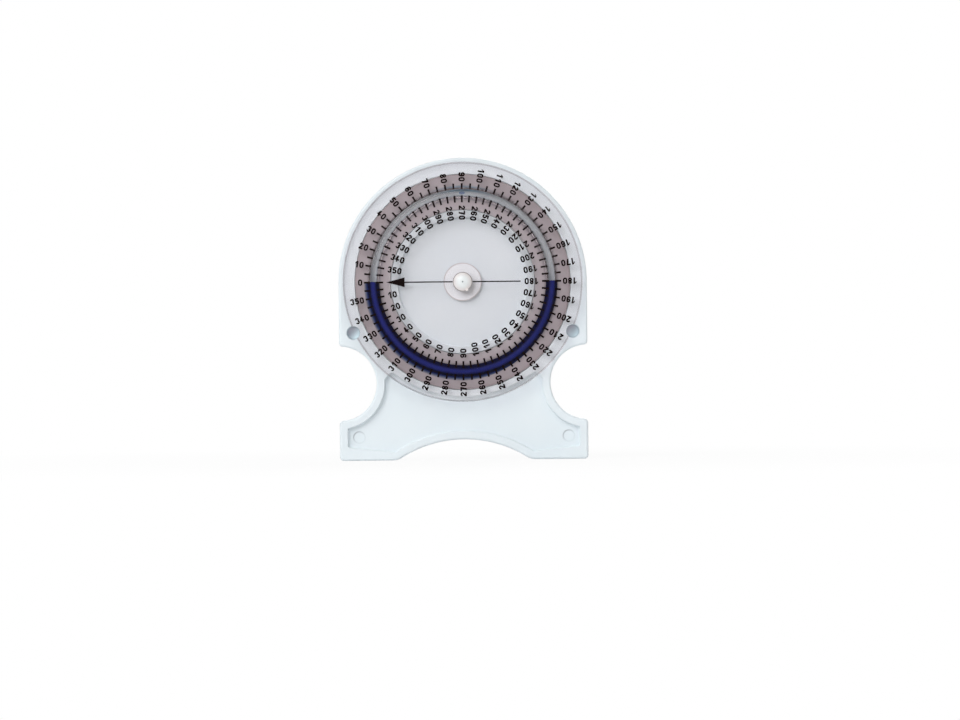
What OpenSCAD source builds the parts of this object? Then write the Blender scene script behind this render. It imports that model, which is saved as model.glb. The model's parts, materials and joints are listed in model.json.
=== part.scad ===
// Bubble inclinometer: a turning clear dial with a ring of liquid, on a moulded base that stands on two feet.
// Sizes are in millimetres. Every piece is drawn flat, with the dial axis as its origin, the back of the base
// at height 0 and the viewer above, and is then stood upright: X across, Y from front to back, Z up.
// The part's origin is on the plane of the feet, at the middle of the overall width and depth.

/* [Base] */
// Width of the base, which is also the diameter of its round head
base_w = 100; // [88:1:125]
// Depth of the base from its back face to its front face
base_d = 15; // [13:0.5:20]
// Height from the soles of the feet to the lowest point of the round head's circle
leg_h = 21.6; // [18:0.2:30]
// Thickness of the skins and of the walls round the cored spaces
wall = 2.7; // [2:0.1:3.5]
// Width of the raised rim round the legs
rim_w = 3.3; // [2.5:0.1:4]
// Width of the rim along the straight side of each foot
side_rim = 3.3; // [2.5:0.1:4.5]
// Height of the rim over the sole at the outer end of each foot
sole_rim = 5.3; // [3.5:0.1:6]
// Radius of the two cut-outs at the waist
waist_r = 15; // [10:0.5:18]
// Height of the middle of the waist cut-outs above the soles
waist_h = 31; // [28:0.5:36]
// Radius of the arch between the feet
arch_r = 47.4; // [38:0.2:60]
// Height of the crown of the arch above the soles
arch_h = 8.2; // [5:0.1:9]
// Radius that rounds the arch into the soles
arch_fillet_r = 7.5; // [3:0.5:9]
// Radius of the corners of the shoulders and feet
corner_r = 1.5; // [0.8:0.1:2.5]
// Depth of the sunk panel in the front of the legs
tray_d = 2.2; // [1:0.1:4]
// Half of the angle, seen from the dial axis, that the sunk panel spans
tray_half_angle = 39.2; // [36:0.2:42]
// Radius of the upper corners of the sunk panel
tray_corner_r = 2; // [0.8:0.1:2.5]

/* [Dial seat] */
// Distance from the edge of the round head to the middle of the liquid ring
channel_inset = 14.2; // [13.2:0.1:16]
// Distance from the middle of the liquid ring in to the seat's annular well
well_in = 6.9; // [6.5:0.1:8]
// Distance from the middle of the liquid ring out to the well's outer wall
well_out = 7.6; // [7:0.1:8.5]
// Width of the raised land inside the well
land_w = 3; // [2:0.1:4]
// Depth of the round step inside the land
step_d = 1.2; // [0.6:0.1:2]
// Radius of the boss that carries the pivot
boss_r = 6.5; // [5.5:0.1:7]
// Height of the boss's rear end above the back face
boss_back = 4.4; // [4:0.1:6]
// Number of ribs behind the round step
rib_count = 6; // [4:1:12]
// Thickness of each rib
rib_t = 1.4; // [1:0.1:2]
// Distance of the ribs' edges in from the back face
rib_recess = 1; // [0.5:0.1:2]

/* [Small marks of the base] */
// Radius of the two dimples at the dial's edge
dimple_r = 2.7; // [2:0.1:3]
// Depth of the dimples
dimple_d = 4.5; // [3:0.1:6]
// Radius of the rounded bottom of the dimples
dimple_bottom_r = 3.6; // [3.1:0.1:6]
// Angle of the dimples below the dial axis
dimple_angle = 24.6; // [20:0.2:26]
// Distance from the dial's edge out to the middle of each dimple
dimple_out = 0.3; // [0:0.1:0.6]
// Radius of the ejector marks in the feet
mark_r = 2.45; // [1.5:0.05:3]
// Depth of the ejector marks
mark_d = 0.4; // [0.1:0.05:0.6]
// Distance of the ejector marks in from the side of the foot
mark_inset = 7.8; // [7.5:0.1:10]
// Height of the ejector marks above the soles
mark_h = 9.3; // [8:0.1:11]

/* [Dial] */
// Width of the base's head that shows outside the dial
dial_reveal = 1.8; // [1:0.1:3]
// Thickness of the clear front disc
disc_t = 3.6; // [3.3:0.1:5]
// Chamfer on the front edge of the disc
disc_chamfer = 0.4; // [0.2:0.1:0.8]
// Running gap between the base's front face and the dial
dial_gap = 0.3; // [0.1:0.05:0.6]
// Radius of the round bore that holds the liquid
channel_bore_r = 2.3; // [1.8:0.05:2.5]
// Thickness of the ring that closes the bore from behind
ring_t = 4.3; // [3.8:0.1:5]
// Running gap between that ring and the walls of the well
ring_gap = 0.2; // [0.2:0.05:1]
// Radius of the filling hole and of its plug's stem
plug_r = 1.2; // [0.8:0.1:1.5]
// Radius of the plug's head
plug_head_r = 1.8; // [1.6:0.1:2.2]
// Thickness of the plug's head
plug_head_t = 0.5; // [0.3:0.1:0.8]

/* [Liquid] */
// Angle of the ring that the liquid fills
fluid_arc = 180.7; // [90:0.1:270]
// Gap between the liquid's solid and the bore
fluid_gap = 0.1; // [0.05:0.01:0.2]

/* [Pivot] */
// Radius of the rivet's shank
shank_r = 2.5; // [1.8:0.1:3]
// Radius of the rivet's domed head
head_r = 3.9; // [3.7:0.1:5]
// Height of the rivet's domed head
head_h = 1.4; // [1:0.1:2]
// Radius of the dimple at the middle of the head
head_dot_r = 0.3; // [0.2:0.05:0.5]
// Radius of the gate nub on the rim of the head
head_nub_r = 0.7; // [0.4:0.1:1]
// Height of the shank's rear end above the back face
shank_back = 1.2; // [0.8:0.1:2]
// Radial clearance of the dial on the shank
running_fit = 0.05; // [0.03:0.01:0.1]
// Radial clearance of what is pushed onto or into a seat
snug_fit = 0.02; // [0.01:0.01:0.03]
// End play of the dial under the rivet's head, and over the bearing washer
end_play = 0.05; // [0.05:0.01:0.1]
// Radius of the bearing washer between boss and dial
washer_r = 7.65; // [7.1:0.05:9]
// Thickness of the bearing washer
washer_t = 0.5; // [0.3:0.1:0.8]
// Outer radius of the conical spring washer
spring_r = 4.8; // [4.4:0.1:5]
// Thickness of the spring washer's sheet
spring_t = 0.35; // [0.25:0.05:0.5]
// Rise of the spring washer's cone
spring_rise = 0.55; // [0.3:0.05:0.8]
// Outer radius of the push-on retainer
retainer_r = 5.2; // [5:0.1:5.8]
// Thickness of the retainer's sheet
retainer_t = 0.6; // [0.4:0.1:0.8]
// Width of the flat rim of the retainer
retainer_rim = 1.2; // [0.8:0.1:1.4]
// Backward dish of the retainer's teeth
retainer_dish = 0.7; // [0.4:0.1:0.9]
// Number of teeth of the retainer
retainer_teeth = 6; // [4:1:8]
// Width of the slots between the teeth
retainer_slot = 0.7; // [0.5:0.1:0.9]

/* [Printed scale] */
// Thickness of the printed ink
ink_t = 0.08; // [0.05:0.01:0.15]
// Angle between neighbouring marks
mark_step = 5; // [5, 10]
// Width of a mark
tick_w = 0.75; // [0.4:0.05:0.8]
// Distance from the middle of the liquid ring out to the outer marks
outer_tick_start = 1.4; // [1:0.1:2]
// Length of the outer marks
outer_tick_l = 2.4; // [1.5:0.1:2.6]
// Distance from the middle of the liquid ring in to the inner marks
inner_tick_start = 1.1; // [1:0.1:1.5]
// Length of the inner marks
inner_tick_l = 2.8; // [1.5:0.1:3]
// Angle between neighbouring numbers
number_step = 10; // [10, 20, 30]
// Height of a digit
digit_h = 2.6; // [2.3:0.1:2.8]
// Width of a digit
digit_w = 1.7; // [1.4:0.05:1.8]
// Width of a digit's stroke
digit_stroke = 0.62; // [0.36:0.02:0.62]
// Distance from the start of one digit to the start of the next
digit_pitch = 2; // [1.9:0.05:2.1]
// Distance from the middle of the liquid ring out to the outer numbers
outer_number_start = 4.5; // [4.3:0.1:5]
// Distance from the middle of the liquid ring in to the inner numbers
inner_number_start = 5.2; // [4.6:0.1:6]
// Distance from the middle of the liquid ring in to the arrow's tip
arrow_tip_in = 5.1; // [4.6:0.1:6]
// Length of the arrow's head
arrow_head_l = 7.4; // [5:0.1:8]
// Width of the arrow's head
arrow_head_w = 3.9; // [3:0.1:5]
// Width of the arrow's line
arrow_line_w = 0.5; // [0.3:0.05:0.6]
// Gap between the arrow's line and the rivet's head
arrow_hub_gap = 0.1; // [0.1:0.1:1]

/* [Hidden] */
$fn = 96;

// Cutting tools run this far past the faces they open
over = 1;
// Corner arcs stop this angle short of their tangent points, so that the waste crosses the outline cleanly
short = 1;

// Base outline
half_w = base_w / 2;
axis_h = half_w + leg_h;
sole_y = -axis_h;
waist_y = sole_y + waist_h;
arch_y = sole_y + arch_h - arch_r;

// Radii about the dial axis
channel_r = half_w - channel_inset;
well_in_r = channel_r - well_in;
well_out_r = channel_r + well_out;
step_r = well_in_r - land_w;
platform_r = well_out_r + wall;
dial_r = half_w - dial_reveal;
dimple_x = (dial_r + dimple_out) * cos(dimple_angle);
dimple_y = -(dial_r + dimple_out) * sin(dimple_angle);

// Levels above the back face
step_z = base_d - step_d;
tray_z = base_d - tray_d;
disc_back = base_d + dial_gap;
disc_front = disc_back + disc_t;
ring_back = disc_back - ring_t;
boss_front = disc_back - end_play - washer_t;
head_back = disc_front + end_play;
overall_d = head_back + head_h;
retainer_front = boss_back - spring_t - spring_rise;

// Where the rounded corners meet their neighbours
foot_waist_dy = sqrt(pow(waist_r + corner_r, 2) - pow(corner_r, 2));
arch_fillet_y = sole_y + arch_fillet_r;
arch_fillet_x = sqrt(pow(arch_r + arch_fillet_r, 2) - pow(arch_fillet_y - arch_y, 2));

// Stands a piece upright on the plane of the feet
module upright() {
    translate([0, overall_d / 2, axis_h])
        rotate([90, 0, 0])
            children();
}

// Draws a shape and its mirror image across the object's middle
module both_sides() {
    children();
    mirror([1, 0, 0]) children();
}

// Waste outside a rounded corner: an arc about c from angle a0 to a1, and a tip outside the material
module corner_waste(c, r, a0, a1, tip) {
    steps = 8;
    arc = [for (i = [steps : -1 : 0]) let (a = a0 + (a1 - a0) * i / steps) c + r * [cos(a), sin(a)]];
    polygon(concat([tip], arc));
}

// Silhouette of the base
module base_outline() {
    waist_turn = asin(corner_r / (waist_r + corner_r));
    arch_turn = asin(arch_fillet_x / (arch_r + arch_fillet_r));
    difference() {
        union() {
            intersection() {
                circle(r = half_w);
                translate([-base_w, 0]) square([2 * base_w, base_w]);
            }
            translate([-half_w, sole_y]) square([base_w, axis_h]);
        }
        both_sides() {
            translate([half_w, waist_y]) circle(r = waist_r);
            corner_waste([half_w - corner_r, waist_y + foot_waist_dy], corner_r,
                -90 + waist_turn + short, -short,
                [half_w + corner_r, waist_y + foot_waist_dy - 2 * corner_r]);
            corner_waste([half_w - corner_r, waist_y - foot_waist_dy], corner_r,
                short, 90 - waist_turn - short,
                [half_w + corner_r, waist_y - foot_waist_dy + 2 * corner_r]);
            corner_waste([half_w - corner_r, sole_y + corner_r], corner_r,
                -90 + short, -short, [half_w + corner_r, sole_y - corner_r]);
            corner_waste([arch_fillet_x, arch_fillet_y], arch_fillet_r,
                -90 - arch_turn + short, -90 - short, [arch_fillet_x - arch_fillet_r / 2, sole_y - 2]);
        }
        translate([0, arch_y]) circle(r = arch_r);
    }
}

// Outline of the sunk panel of the legs, between the rim and the round platform under the dial
module tray_outline() {
    reach = 2 * axis_h;
    foot_in = half_w - side_rim;
    corner_at = platform_r + tray_corner_r;
    corner_angle = tray_half_angle - asin(tray_corner_r / corner_at);
    tip_angle = tray_half_angle + 2;
    difference() {
        intersection() {
            polygon([
                [0, 0],
                [-reach * sin(tray_half_angle), -reach * cos(tray_half_angle)],
                [reach * sin(tray_half_angle), -reach * cos(tray_half_angle)]
            ]);
            polygon([
                [foot_in, 0], [-foot_in, 0],
                [-foot_in, sole_y + sole_rim], [-arch_fillet_x, sole_y + rim_w],
                [arch_fillet_x, sole_y + rim_w], [foot_in, sole_y + sole_rim]
            ]);
        }
        circle(r = platform_r);
        both_sides() {
            translate([half_w, waist_y]) circle(r = waist_r + rim_w);
            corner_waste(corner_at * [sin(corner_angle), -cos(corner_angle)], tray_corner_r,
                tray_half_angle + short, 90 + corner_angle - short,
                (platform_r - tray_corner_r) * [sin(tip_angle), -cos(tip_angle)]);
        }
        translate([0, arch_y]) circle(r = arch_r + rim_w);
    }
}

// Ring about the dial axis
module tube(outer, inner, height) {
    difference() {
        cylinder(r = outer, h = height);
        translate([0, 0, -over]) cylinder(r = inner, h = height + 2 * over);
    }
}

// Blind hole of a dimple, with a rounded bottom
module dimple_waste() {
    dish_h = dimple_bottom_r - sqrt(pow(dimple_bottom_r, 2) - pow(dimple_r, 2));
    translate([dimple_x, dimple_y, base_d - dimple_d]) {
        translate([0, 0, dish_h]) cylinder(r = dimple_r, h = dimple_d - dish_h + over);
        intersection() {
            translate([0, 0, dimple_bottom_r]) sphere(r = dimple_bottom_r);
            cylinder(r = dimple_r, h = dimple_bottom_r);
        }
    }
}

// Moulded base with its rim, sunk leg panel, leg core-out, annular well, pivot boss and ribs
module base_plate() {
    color([0.91, 0.94, 0.96]) upright() {
        difference() {
            linear_extrude(base_d) base_outline();
            translate([0, 0, tray_z]) linear_extrude(tray_d + over) tray_outline();
            translate([0, 0, -over]) linear_extrude(over + tray_z - wall) tray_outline();
            translate([0, 0, wall]) tube(well_out_r, well_in_r, base_d);
            translate([0, 0, step_z]) cylinder(r = step_r, h = step_d + over);
            difference() {
                translate([0, 0, -over]) cylinder(r = well_in_r - wall, h = over + step_z - wall);
                translate([0, 0, boss_back]) cylinder(r = boss_r, h = step_z);
                for (i = [0 : rib_count - 1])
                    rotate([0, 0, 360 * i / rib_count])
                        translate([boss_r / 2, -rib_t / 2, rib_recess])
                            cube([well_in_r, rib_t, step_z]);
            }
            translate([0, 0, -over]) cylinder(r = shank_r + snug_fit, h = base_d);
            translate([0, 0, -over]) cylinder(r = retainer_r + ring_gap, h = over + boss_back);
            both_sides() {
                dimple_waste();
                translate([half_w - mark_inset, sole_y + mark_h, tray_z - mark_d])
                    cylinder(r = mark_r, h = mark_d + over);
            }
        }
        translate([0, 0, step_z - wall / 2])
            tube(boss_r, shank_r + snug_fit, boss_front - step_z + wall / 2);
    }
}

// Low-friction washer that carries the dial on the boss
module bearing_washer() {
    color([0.95, 0.95, 0.93]) upright()
        translate([0, 0, boss_front]) tube(washer_r, shank_r + running_fit, washer_t);
}

// White domed rivet on which the dial turns
module pivot_rivet() {
    dome_r = (pow(head_r, 2) + pow(head_h, 2)) / (2 * head_h);
    nub_angle = -62;
    color([0.98, 0.97, 0.95]) upright() {
        difference() {
            union() {
                translate([0, 0, shank_back]) cylinder(r = shank_r, h = head_back + head_h / 2 - shank_back);
                intersection() {
                    translate([0, 0, head_back + head_h - dome_r]) sphere(r = dome_r);
                    translate([0, 0, head_back]) cylinder(r = head_r + over, h = 2 * head_h);
                }
                rotate([0, 0, nub_angle])
                    translate([head_r - head_nub_r / 2, 0, head_back + head_h / 8])
                        cylinder(r = head_nub_r, h = 3 / 8 * head_h);
            }
            translate([0, 0, head_back + head_h - head_dot_r]) cylinder(r = head_dot_r, h = over);
        }
    }
}

// Conical spring washer that gives the dial its drag
module spring_washer() {
    inner = shank_r + 2 * running_fit;
    color([0.70, 0.71, 0.73]) upright()
        rotate_extrude()
            polygon([
                [inner, boss_back - spring_t], [spring_r, retainer_front],
                [spring_r, retainer_front + spring_t], [inner, boss_back]
            ]);
}

// Push-on retainer whose teeth grip the rivet's end
module push_on_retainer() {
    grip = shank_r + snug_fit;
    rim_in = retainer_r - retainer_rim;
    back = retainer_front - retainer_t;
    color([0.62, 0.63, 0.65]) upright()
        difference() {
            rotate_extrude()
                polygon([
                    [grip, retainer_front - retainer_dish], [grip, back - retainer_dish],
                    [rim_in, back], [retainer_r, back], [retainer_r, retainer_front], [rim_in, retainer_front]
                ]);
            for (i = [0 : retainer_teeth - 1])
                rotate([0, 0, 360 * (i + 0.5) / retainer_teeth])
                    translate([0, -retainer_slot / 2, -over])
                        cube([rim_in, retainer_slot, retainer_front + 2 * over]);
        }
}

// Round section of the liquid ring, at radius r about its middle, in the plane of the disc's back face
module ring_section(r) {
    translate([channel_r, disc_back]) circle(r = r);
}

// Clear front disc, which is printed with the scale and roofs the liquid ring
module front_disc() {
    color([0.80, 0.86, 0.90, 0.5]) upright()
        difference() {
            rotate_extrude()
                polygon([
                    [0, disc_back], [dial_r, disc_back], [dial_r, disc_front - disc_chamfer],
                    [dial_r - disc_chamfer, disc_front], [0, disc_front]
                ]);
            rotate_extrude() ring_section(channel_bore_r);
            translate([0, 0, disc_back - over]) cylinder(r = shank_r + running_fit, h = disc_t + 2 * over);
            both_sides() translate([dimple_x, dimple_y, disc_back - over])
                cylinder(r = dimple_r, h = disc_t + 2 * over);
        }
}

// Ring behind the disc that holds the rear half of the liquid ring
module channel_ring() {
    color([0.66, 0.61, 0.62, 0.7]) upright()
        difference() {
            translate([0, 0, ring_back]) tube(well_out_r - ring_gap, well_in_r + ring_gap, ring_t);
            rotate_extrude() ring_section(channel_bore_r);
            translate([0, channel_r, ring_back - over])
                cylinder(r = plug_r + snug_fit, h = over + ring_t / 2);
        }
}

// Plug that closes the filling hole at the top of the liquid ring
module fill_plug() {
    stem_top = disc_back - channel_bore_r - fluid_gap;
    color([0.45, 0.55, 0.70]) upright() translate([0, channel_r, 0]) {
        translate([0, 0, ring_back - plug_head_t]) cylinder(r = plug_head_r, h = plug_head_t);
        translate([0, 0, ring_back - plug_head_t / 2])
            cylinder(r = plug_r, h = stem_top - ring_back + plug_head_t / 2);
    }
}

// Blue liquid, which lies in the lower half of the ring and stays level
module level_fluid() {
    color([0.13, 0.15, 0.42]) upright()
        rotate([0, 0, -90 - fluid_arc / 2])
            rotate_extrude(angle = fluid_arc)
                ring_section(channel_bore_r - fluid_gap);
}

// Printed marks all round the dial, from radius start outwards
module tick_ring(start, length) {
    for (a = [0 : mark_step : 359])
        rotate([0, 0, a])
            translate([start, -tick_w / 2, disc_front])
                cube([length, tick_w, ink_t]);
}

module outer_marks() {
    color([0.10, 0.07, 0.07]) upright() tick_ring(channel_r + outer_tick_start, outer_tick_l);
}

module inner_marks() {
    color([0.10, 0.07, 0.07]) upright() tick_ring(channel_r - inner_tick_start - inner_tick_l, inner_tick_l);
}

// Arrow at the zero of the inner numbers, and the line that runs through the hub
module pointer_arrow() {
    tip = channel_r - arrow_tip_in;
    head_start = tip - arrow_head_l;
    line_start = head_r + arrow_hub_gap;
    color([0.10, 0.07, 0.07]) upright() {
        translate([0, 0, disc_front]) linear_extrude(ink_t) {
            polygon([[-tip, 0], [-head_start, -arrow_head_w / 2], [-head_start, arrow_head_w / 2]]);
            translate([-head_start - over, -arrow_line_w / 2])
                square([head_start + over - line_start, arrow_line_w]);
            translate([line_start, -arrow_line_w / 2])
                square([head_start - line_start, arrow_line_w]);
        }
    }
}

// Ring stroke of a digit about c
module stroke_ring(c, r) {
    translate(c) difference() {
        circle(r = r);
        circle(r = r - digit_stroke);
    }
}

// Part of a stroke ring that lies in a box from corner p to corner q
module stroke_part(c, r, p, q) {
    intersection() {
        stroke_ring(c, r);
        translate(p) square(q - p);
    }
}

// Box from corner p to corner q
module bar(p, q) {
    translate(p) square(q - p);
}

// One digit, standing on y = 0 from x = 0
module digit(d) {
    w = digit_w;
    h = digit_h;
    s = digit_stroke;
    r = w / 2;
    loop_r = (h + s) / 4;
    if (d == 0) {
        stroke_part([r, h - r], r, [0, h - r], [w, h]);
        stroke_part([r, r], r, [0, 0], [w, r]);
        bar([0, r], [s, h - r]);
        bar([w - s, r], [w, h - r]);
    }
    if (d == 1) {
        bar([r, 0], [r + s, h]);
        polygon([[r, h], [r / 3, h - 0.75 * r], [r / 3, h - 0.75 * r - s], [r, h - s]]);
    }
    if (d == 2) {
        stroke_part([r, h - r], r, [0, h - r], [w, h]);
        polygon([
            [w - s, h - r], [0, s], [0, s / 2], [1.2 * s, s / 2],
            [w, h - r], [w, h - r + s / 9], [w - s, h - r + s / 9]
        ]);
        bar([0, 0], [w, s]);
    }
    if (d == 3) {
        difference() {
            union() {
                stroke_ring([w - loop_r, h - loop_r], loop_r);
                stroke_ring([w - loop_r, loop_r], loop_r);
            }
            polygon([
                [-h, 0.6 * loop_r], [w - loop_r, loop_r], [w - loop_r, h - loop_r], [-h, h - 0.6 * loop_r]
            ]);
        }
    }
    if (d == 4) {
        bar([w - 1.9 * s, 0], [w - 0.9 * s, h]);
        bar([0, 0.24 * h], [w, 0.24 * h + s]);
        polygon([
            [0, 0.24 * h + s / 2], [s, 0.24 * h + s / 2], [w - 1.4 * s, h - 1.1 * s], [w - 1.4 * s, h],
            [w - 1.9 * s, h]
        ]);
    }
    if (d == 5) {
        difference() {
            stroke_ring([r, r + 0.02 * h], r + 0.02 * h);
            polygon([[r, r], [r - h * cos(30), r + h * sin(30)], [r - h * cos(15), r - h * sin(15)]]);
        }
        bar([0.06 * w, 1.5 * r], [0.06 * w + s, h]);
        bar([0.06 * w, h - s], [0.95 * w, h]);
    }
    if (d == 6) six();
    if (d == 7) {
        bar([0, h - s], [w, h]);
        polygon([[0.3 * w, 0], [0.3 * w + s, 0], [w, h - s], [w, h - s / 2], [w - 1.1 * s, h - s / 2]]);
    }
    if (d == 8) {
        stroke_ring([r, h - loop_r + 0.02 * h], loop_r - 0.02 * h);
        stroke_ring([r, loop_r], loop_r);
    }
    if (d == 9) translate([w, h]) rotate(180) six();
}

// The digit six, which turned over is also the nine
module six() {
    w = digit_w;
    h = digit_h;
    s = digit_stroke;
    r = w / 2;
    stroke_ring([r, r], r);
    stroke_part([r, h - r], r, [0, h - r], [w, h]);
    bar([0, r], [s, h - r]);
}

// Digits of a number, the first one first
function digits(n) = n < 10 ? [n] : concat(digits(floor(n / 10)), [n % 10]);

// A number whose first digit starts at x = 0, centred on y = 0
module number(n) {
    places = digits(n);
    for (i = [0 : len(places) - 1])
        translate([i * digit_pitch, -digit_h / 2]) digit(places[i]);
}

// Width of a number
function number_w(n) = (len(digits(n)) - 1) * digit_pitch + digit_w;

// Outer numbers, rising clockwise from 0 at the left
module outer_numbers() {
    end = channel_r + outer_number_start;
    color([0.10, 0.07, 0.07]) upright() translate([0, 0, disc_front]) linear_extrude(ink_t)
        for (n = [0 : number_step : 359])
            rotate(-n) translate([-end - number_w(n), 0]) number(n);
}

// Inner numbers, rising anticlockwise from the arrow at the left
module inner_numbers() {
    start = channel_r - inner_number_start;
    color([0.10, 0.07, 0.07]) upright() translate([0, 0, disc_front]) linear_extrude(ink_t)
        for (n = [number_step : number_step : 359])
            rotate(n) translate([-start, 0]) number(n);
}

base_plate();
bearing_washer();
pivot_rivet();
spring_washer();
push_on_retainer();
front_disc();
channel_ring();
fill_plug();
level_fluid();
outer_marks();
inner_marks();
outer_numbers();
inner_numbers();
pointer_arrow();
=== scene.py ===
import json
import math

import bmesh
import bpy
from mathutils import Matrix, Vector


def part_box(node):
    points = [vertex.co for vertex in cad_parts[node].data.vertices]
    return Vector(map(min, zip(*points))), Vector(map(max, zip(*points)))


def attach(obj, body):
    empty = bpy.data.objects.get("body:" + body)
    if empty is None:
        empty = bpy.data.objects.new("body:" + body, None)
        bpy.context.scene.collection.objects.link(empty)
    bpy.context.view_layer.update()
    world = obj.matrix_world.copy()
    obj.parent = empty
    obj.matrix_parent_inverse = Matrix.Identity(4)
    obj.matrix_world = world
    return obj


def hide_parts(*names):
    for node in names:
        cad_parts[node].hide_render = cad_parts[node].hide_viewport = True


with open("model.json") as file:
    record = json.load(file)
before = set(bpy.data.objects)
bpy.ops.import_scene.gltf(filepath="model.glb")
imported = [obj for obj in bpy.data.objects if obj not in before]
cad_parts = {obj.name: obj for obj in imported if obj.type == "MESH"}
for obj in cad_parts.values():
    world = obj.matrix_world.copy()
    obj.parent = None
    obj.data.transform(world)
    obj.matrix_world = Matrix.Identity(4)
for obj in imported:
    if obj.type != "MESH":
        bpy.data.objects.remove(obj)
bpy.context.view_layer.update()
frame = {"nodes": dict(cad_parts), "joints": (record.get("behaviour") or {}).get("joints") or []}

# Pieces are drawn in millimetres about the dial axis: x to the right, y up, z forward from the back face.
# Points of the drawing plane are complex numbers, x + y * 1j.
MM = 0.001


def box_mm(node):
    low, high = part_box(node)
    return low / MM, high / MM


# Places that the frame gives
AXIS_H = frame["joints"][0]["pos_m"][2] / MM
BASE_LOW, BASE_HIGH = box_mm("base_plate")
BACK = BASE_HIGH.y
HALF_W = BASE_HIGH.x
BASE_D = BACK - BASE_LOW.y
DISC_LOW, DISC_HIGH = box_mm("front_disc")
DIAL_R = DISC_HIGH.x
DISC_BACK = BACK - DISC_HIGH.y
DISC_FRONT = BACK - DISC_LOW.y
RING_HIGH = box_mm("channel_ring")[1]
RING_OUT = RING_HIGH.x
RING_BACK = BACK - RING_HIGH.y
WASHER_LOW, WASHER_HIGH = box_mm("bearing_washer")
WASHER_R = WASHER_HIGH.x
BOSS_FRONT = BACK - WASHER_HIGH.y
WASHER_FRONT = BACK - WASHER_LOW.y
RIVET_LOW, RIVET_HIGH = box_mm("pivot_rivet")
RIVET_FRONT = BACK - RIVET_LOW.y
RIVET_BACK = BACK - RIVET_HIGH.y

# Base
SOLE_Y = -AXIS_H
WALL = 2.7
WAIST_R = 15
WAIST_H = 31
WAIST_Y = SOLE_Y + WAIST_H
ARCH_R = 47.4
ARCH_H = 8.2
ARCH_Y = SOLE_Y + ARCH_H - ARCH_R
ARCH_FILLET_R = 7.5
CORNER_R = 1.5
EDGE_R = 1.0
INNER_EDGE_R = 0.35
FLOOR_FILLET = 0.6

# Tray in front of the legs, and the core-out behind it
RIM_W = 3.3
SIDE_RIM = 3.3
SOLE_RIM = 5.3
TRAY_D = 2.2
TRAY_Z = BASE_D - TRAY_D
TRAY_HALF_ANGLE = 39.2
TRAY_TOE_X = 28.9
TRAY_CORNER_R = 2
TRAY_FILLET = 0.7
TRAY_TIGHT_R = TRAY_FILLET + 0.2

# Dial seat
CHANNEL_R = HALF_W - 14.2
WELL_IN = CHANNEL_R - 6.9
WELL_OUT = CHANNEL_R + 7.6
PLATFORM_R = WELL_OUT + WALL
STEP_R = WELL_IN - 3
STEP_Z = BASE_D - 1.2
STEP_FILLET = 0.2
BOSS_R = 6.5
BOSS_BACK = 4.4
BORE_HOLE_R = 2.52

# Pocket behind the dial seat
POCKET_R = WELL_IN - WALL
POCKET_ROOM = 0.1
RIB_COUNT = 6
RIB_T = 1.4
RIB_RECESS = 1
RIB_ROOT_R = 0.6
RIB_END_R = 1.2
SECTOR_FILLET = 0.5

# Small marks of the base
DIMPLE_R = 2.7
DIMPLE_D = 4.5
DIMPLE_BOTTOM_R = 3.6
DIMPLE_ANGLE = 24.6
DIMPLE_OUT = 0.3
MARK_R = 2.45
MARK_D = 0.4
MARK_EDGE = 0.1
MARK_X = HALF_W - 7.8
MARK_Y = SOLE_Y + 9.3

# Dial
BORE_R = 2.3
DISC_CHAMFER = 0.4
DISC_BACK_CHAMFER = 0.1
RING_IN = WELL_IN + WELL_OUT - RING_OUT
RING_CHAMFER = 0.2
BOND = 0.015
PLUG_HOLE_R = 1.22
FLUID_ARC = 180.7
# Width, start angle and growth of the thin sheet at the liquid's lower left that carries a painted blue glow
FRINGE = 1.6
FRINGE_START = -40
FRINGE_GROWTH = 50

# Pivot
HEAD_R = 3.9
HEAD_BACK = DISC_FRONT + 0.05
SHANK_R = 2.5
SHANK_CHAMFER = 0.4
SHANK_HOLE_R = SHANK_R + 0.05
DOME_SHARE = 0.97
DOT_R = 0.3
DOT_D = 0.25
NUB_R = 0.7
NUB_ANGLE = -62
WASHER_CHAMFER = 0.12

# How far a cutting tool starts past the face that it cuts, and how far a rounded mouth ends past it
PAST = 1
MOUTH_PAST = 0.05
MOUTH_SWEEP = 80
MOUTH_STEPS = 4

# Fineness of the meshes
CHORD_ERROR = 0.004
TURN_STEPS = 240
DISC_STEPS = 360
HUB_STEPS = 128
SMALL_STEPS = 64


def polar(radius, degrees):
    return radius * complex(math.cos(math.radians(degrees)), math.sin(math.radians(degrees)))


def unit(p):
    return p / abs(p)


def mirrored(p):
    return -p.conjugate()


class Line:
    """Straight part of an outline, with the material on its left."""

    def __init__(self, through, heading):
        self.through = through
        self.heading = unit(heading)

    def left(self, p):
        return ((p - self.through) * self.heading.conjugate()).imag

    def normal(self, p):
        return 1j * self.heading

    def nearest(self, p):
        return self.through + self.heading * ((p - self.through) * self.heading.conjugate()).real

    def between(self, a, b):
        return []


class Circle:
    """Round part of an outline, with the material on its left. Turn is 1 if anticlockwise and -1 if not."""

    def __init__(self, centre, radius, turn):
        self.centre = centre
        self.radius = radius
        self.turn = turn

    def left(self, p):
        return self.turn * (self.radius - abs(p - self.centre))

    def normal(self, p):
        return -self.turn * unit(p - self.centre)

    def nearest(self, p):
        return self.centre + self.radius * unit(p - self.centre)

    def between(self, a, b):
        """Points on the way from a to b, without them."""
        start = math.atan2((a - self.centre).imag, (a - self.centre).real)
        end = math.atan2((b - self.centre).imag, (b - self.centre).real)
        sweep = (self.turn * (end - start)) % (2 * math.pi)
        steps = max(2, math.ceil(sweep / (2 * math.acos(1 - CHORD_ERROR / self.radius))))
        turned = [start + self.turn * sweep * i / steps for i in range(1, steps)]
        return [self.centre + self.radius * complex(math.cos(t), math.sin(t)) for t in turned]


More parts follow.
